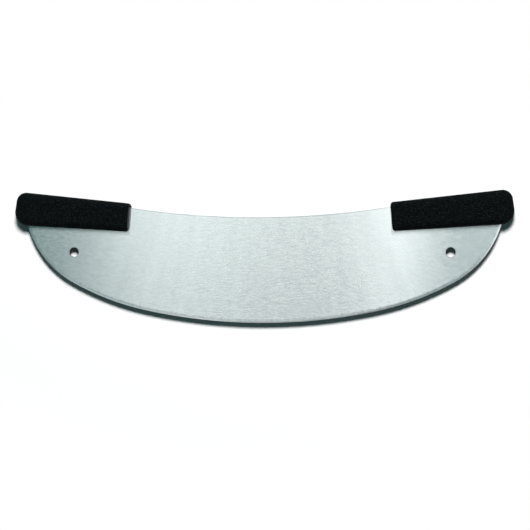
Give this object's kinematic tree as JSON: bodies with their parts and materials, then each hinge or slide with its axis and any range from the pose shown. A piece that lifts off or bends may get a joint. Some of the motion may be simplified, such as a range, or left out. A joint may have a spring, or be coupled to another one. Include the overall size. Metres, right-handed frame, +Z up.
{
  "type": "rocking pizza knife",
  "caption": "Two-handled rocking knife for pizza: wide steel blade with a curved bevelled edge, hollow spine and hanging holes, and a moulded plastic handle over each end.",
  "frame": {"origin": "on the surface that the handles lie on, at the middle of the knife's outline", "axes": "+X along the knife to the right handle, +Y from the cutting edge to the spine, +Z up, square to the blade"},
  "size_m": [0.5072, 0.1323, 0.019],
  "materials": {
    "blade_steel": "satin, finely brushed",
    "handle_plastic": "matte, fine moulded grain"
  },
  "bodies": {
    "root": {"blade": "blade_steel", "left_handle": "handle_plastic", "right_handle": "handle_plastic"}
  },
  "joints": []
}
